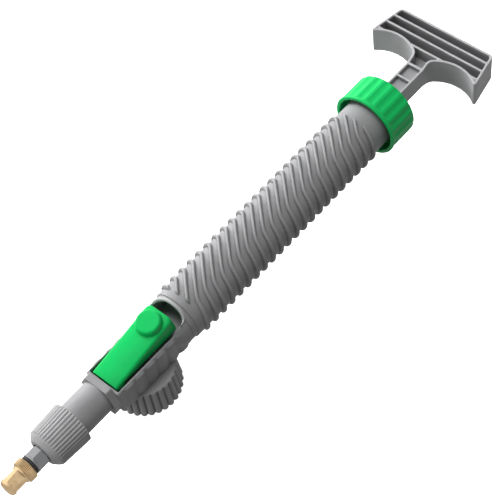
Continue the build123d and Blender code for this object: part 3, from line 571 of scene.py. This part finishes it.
def make_end_cap():
    low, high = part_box("end_cap")
    rear, front, lip = low.x / MM, high.x / MM, high.y / MM
    skirt = lip - 0.3
    outline = arc_corners([
        (rear, CAP_HOLE_R, 0.3), (rear, skirt, 1.5), (front - CAP_LIP - 0.4, skirt, 0.25),
        (front - CAP_LIP, lip, 0.2), (front, lip, 0.55), (front, CAP_MOUTH_R, 0.45),
        (front - CAP_MOUTH_DEPTH, CAP_MOUTH_R, 0.2), (front - CAP_MOUTH_DEPTH - 0.7, CAP_THREAD_R, 0.2),
        (rear + CAP_WALL, CAP_THREAD_R, 0), (rear + CAP_WALL, CAP_HOLE_R, 0),
    ])
    reach = skirt + CAP_FLUTE_R - CAP_FLUTE_DEPTH
    pitch = 2 * math.pi / CAP_FLUTES

    def shape(x, radius, angle):
        if radius > skirt - 2.2 and x < front - 1.2:
            off = (angle - math.radians(CAP_FLUTE_FIRST) + pitch / 2) % pitch - pitch / 2
            side = reach * math.sin(off)
            if abs(side) < CAP_FLUTE_R:
                hollow = reach * math.cos(off) - math.sqrt(CAP_FLUTE_R ** 2 - side ** 2)
                fade = min(1.0, max(0.0, (front - 1.6 - x) / 1.0))
                depth = max(0.0, skirt - hollow) * math.sqrt(fade)
                return min(radius, skirt - depth)
        if 15.5 < radius < 16.0 and front - 6.2 < x < front - 0.4:
            return radius - 0.3 * max(0.0, math.cos(CAP_NICKS * angle)) ** 4
        return radius

    cap = turned("fluted_end_cap", refine(outline, fine_beyond(15.0, 0.5, 4.0)), 360, shape)
    place(cap, "end_cap", "sprayer_body", "green")


# ------------------------------------------------------------------ bottle nut
NUT_FLUTES = 30
NUT_GROOVE_FIRST = 10.0   # angle of one groove, in degrees from the front
NUT_GROOVE_DEPTH = 1.5
NUT_THREAD_R = 14.0
NUT_THREAD_TOP = 6.4
NUT_RELIEF_R = 14.25
NUT_HOLE_R = 8.1
NUT_TOP_WALL = 2.2


def make_bottle_nut():
    low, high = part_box("bottle_nut")
    top, wide = high.z / MM, high.x / MM
    outline = arc_corners([
        (0, NUT_THREAD_R, 0), (0, wide, 0.5), (top, wide - 1.2, 1.3), (top, NUT_HOLE_R, 0.2),
        (top - NUT_TOP_WALL, NUT_HOLE_R, 0), (top - NUT_TOP_WALL, NUT_RELIEF_R, 0),
        (NUT_THREAD_TOP, NUT_RELIEF_R, 0), (NUT_THREAD_TOP, NUT_THREAD_R, 0),
    ])

    def shape(z, radius, angle):
        if radius < 14.6:
            return radius
        wave = abs(math.sin(NUT_FLUTES / 2 * (angle - math.radians(NUT_GROOVE_FIRST))))
        fade = min(1.0, max(0.0, (top - 0.2 - z) / 1.5))
        return radius - NUT_GROOVE_DEPTH * (1 - wave ** 0.55) * math.sqrt(fade)

    fine_outline = refine(outline, fine_beyond(14.6, 0.8, 3.0))
    nut = turned("fluted_bottle_nut", fine_outline, 480, shape, upright=True)
    place(nut, "bottle_nut", "nut", "grey")


# ------------------------------------------------------------------ collar nut
COLLAR_GROOVES = 38
COLLAR_GROOVE_FIRST = 14.2      # angle of one groove, in degrees from the top
COLLAR_GROOVE_DEPTH = 0.45
COLLAR_CONE = 3.3         # length of the cone in front of the knurl
COLLAR_REAR_R = 8.75
COLLAR_BORE_R = 7.8
COLLAR_HOLE_R = 5.15
COLLAR_FRONT_WALL = 3.9


def make_collar():
    low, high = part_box("collar_nut")
    rear, front, wide = low.x / MM, high.x / MM, high.y / MM
    knurl_end = front - COLLAR_CONE
    outline = arc_corners([
        (rear, COLLAR_REAR_R, 0), (rear, wide - 0.05, 0.3), (knurl_end, wide - 0.95, 0.5),
        (front - 1.8, wide - 2.2, 0.8), (front - 0.2, 7.0, 0.4), (front, COLLAR_HOLE_R, 0.1),
        (front - COLLAR_FRONT_WALL, COLLAR_HOLE_R, 0), (front - COLLAR_FRONT_WALL, COLLAR_BORE_R, 0),
        (rear + 1.7, COLLAR_BORE_R, 0), (rear + 1.7, COLLAR_REAR_R, 0),
    ])

    def shape(x, radius, angle):
        if radius < 9.3:
            return radius
        wave = abs(math.sin(COLLAR_GROOVES / 2 * (angle - math.radians(COLLAR_GROOVE_FIRST))))
        fade = min(1.0, max(0.0, (knurl_end + 0.9 - x) / 0.9))
        return radius - COLLAR_GROOVE_DEPTH * (1 - wave ** 0.8) * fade

    collar = turned("knurled_collar", refine(outline, fine_beyond(9.0, 0.6, 3.0)), 456, shape)
    place(collar, "collar_nut", "sprayer_body", "collar")


# ------------------------------------------------------------------ brass nozzle
KNURL_TEETH = 44
KNURL_DEPTH = 0.34
FLAT_FIRST = 28.0         # angle of one spanner flat, in degrees from the top
FLAT_REACH = 3.95         # distance of the flats from the axis
NOZZLE_RING = 3.9         # length of the knurled ring
NOZZLE_BORE_R = 3.3
ORIFICE_R = 0.6


def make_brass_nozzle():
    low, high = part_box("brass_nozzle")
    rear, tip, wide = low.x / MM, high.x / MM, high.y / MM
    outline = arc_corners([
        (rear, NOZZLE_BORE_R, 0), (rear, wide, 0.35), (rear + NOZZLE_RING, wide, 0.35),
        (rear + NOZZLE_RING, 4.72, 0.15), (tip - 2.1, 4.5, 0.5), (tip - 0.7, 4.05, 0.5),
        (tip, 3.0, 0.4), (tip, 1.0, 0.15), (tip - 0.4, ORIFICE_R, 0), (tip - 1.6, ORIFICE_R, 0),
        (tip - 4.0, 1.8, 0), (tip - 5.7, 2.9, 0), (tip - 6.3, NOZZLE_BORE_R, 0),
    ])
    quarter = math.pi / 2

    def shape(x, radius, angle):
        if radius > 5.2 and rear + 0.3 < x < rear + NOZZLE_RING - 0.3:
            return radius - KNURL_DEPTH * (0.5 - 0.5 * math.cos(KNURL_TEETH * angle))
        if rear + 5.0 <= x <= tip - 2.3 and radius > 3.8:
            off = (angle - math.radians(FLAT_FIRST) + quarter / 2) % quarter - quarter / 2
            return min(radius, FLAT_REACH / math.cos(off))
        return radius

    nozzle = turned("turned_brass_nozzle", refine(outline, fine_beyond(3.6, 0.15, 1.0)), 352, shape)
    place(nozzle, "brass_nozzle", "nozzle", "brass")


# ------------------------------------------------------------------ O-rings
O_RINGS = {                # node and the body it rides on
    "nozzle_o_ring": "sprayer_body", "housing_o_ring": "sprayer_body", "piston_o_ring": "pump_handle",
    "outlet_o_ring": "sprayer_body", "stem_o_ring": "sprayer_body",
}
O_RING_POINTS = 16
O_RING_SIDES = 96


def make_o_ring(node, body):
    """A round-section ring in the place of the ring's CAD solid."""
    low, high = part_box(node)
    upright = high.z - low.z < high.x - low.x
    along = (low.z + high.z if upright else low.x + high.x) / 2 / MM
    thick = (high.z - low.z if upright else high.x - low.x) / 2 / MM
    outer = high.y / MM
    ring = [
        Vector((along + thick * math.cos(a), outer - thick + thick * math.sin(a)))
        for a in (2 * math.pi * k / O_RING_POINTS for k in range(O_RING_POINTS))
    ]
    piece = turned("round_" + node, ring, O_RING_SIDES, upright=upright)
    place(piece, node, body, "rubber")


# ------------------------------------------------------------------ CAD pieces that keep their shape
def soften(obj, cell, passes):
    """Rounds every edge a little, as on a moulded piece: a fine even mesh, relaxed a few times."""
    remesh = obj.modifiers.new("even_mesh", "REMESH")
    remesh.mode = "VOXEL"
    remesh.voxel_size = cell * MM
    remesh.use_smooth_shade = True
    relax = obj.modifiers.new("relaxed_edges", "SMOOTH")
    relax.factor = 0.5
    relax.iterations = passes


# finish, size in mm of the even mesh's cells (0 leaves the piece as it is) and relaxing passes
CAD_LOOKS = {
    "t_handle": ("handle", 0.22, 3), "valve_housing": ("grey", 0.18, 8), "thumb_lever": ("lever", 0.16, 4),
    "outlet_tube": ("grey", 0.18, 2), "nozzle_stem": ("slate", 0.1, 2), "bottle_connector": ("grey", 0.2, 2),
    "rod_guide": ("ivory", 0.2, 2), "piston_head": ("ivory", 0.2, 2), "check_valve_seat": ("ivory", 0, 0),
    "tube_bush": ("ivory", 0.12, 2), "stem_gland": ("ivory", 0, 0), "nozzle_core": ("ivory", 0, 0),
    "valve_stem": ("steel", 0, 0), "valve_spring": ("steel", 0, 0), "check_valve_spring": ("steel", 0, 0),
    "lever_pin": ("steel", 0, 0), "piston_screw": ("steel", 0, 0), "check_valve_disc": ("rubber", 0, 0),
    "valve_washer": ("rubber", 0, 0), "bottle_gasket": ("rubber", 0, 0), "stem_gasket": ("rubber", 0, 0),
    "nozzle_seal": ("rubber", 0, 0),
}


def dress_cad_pieces():
    for node, (key, cell, passes) in CAD_LOOKS.items():
        paint(nodes[node], key)
        if cell:
            soften(nodes[node], cell, passes)


bpy.context.scene.view_settings.view_transform = "Standard"
make_camera()
make_world()
make_floor()
for light in LIGHTS:
    area_light(*light)

make_barrel()
make_bead()
make_end_cap()
make_bottle_nut()
make_collar()
make_brass_nozzle()
for ring_node, ring_body in O_RINGS.items():
    make_o_ring(ring_node, ring_body)
dress_cad_pieces()
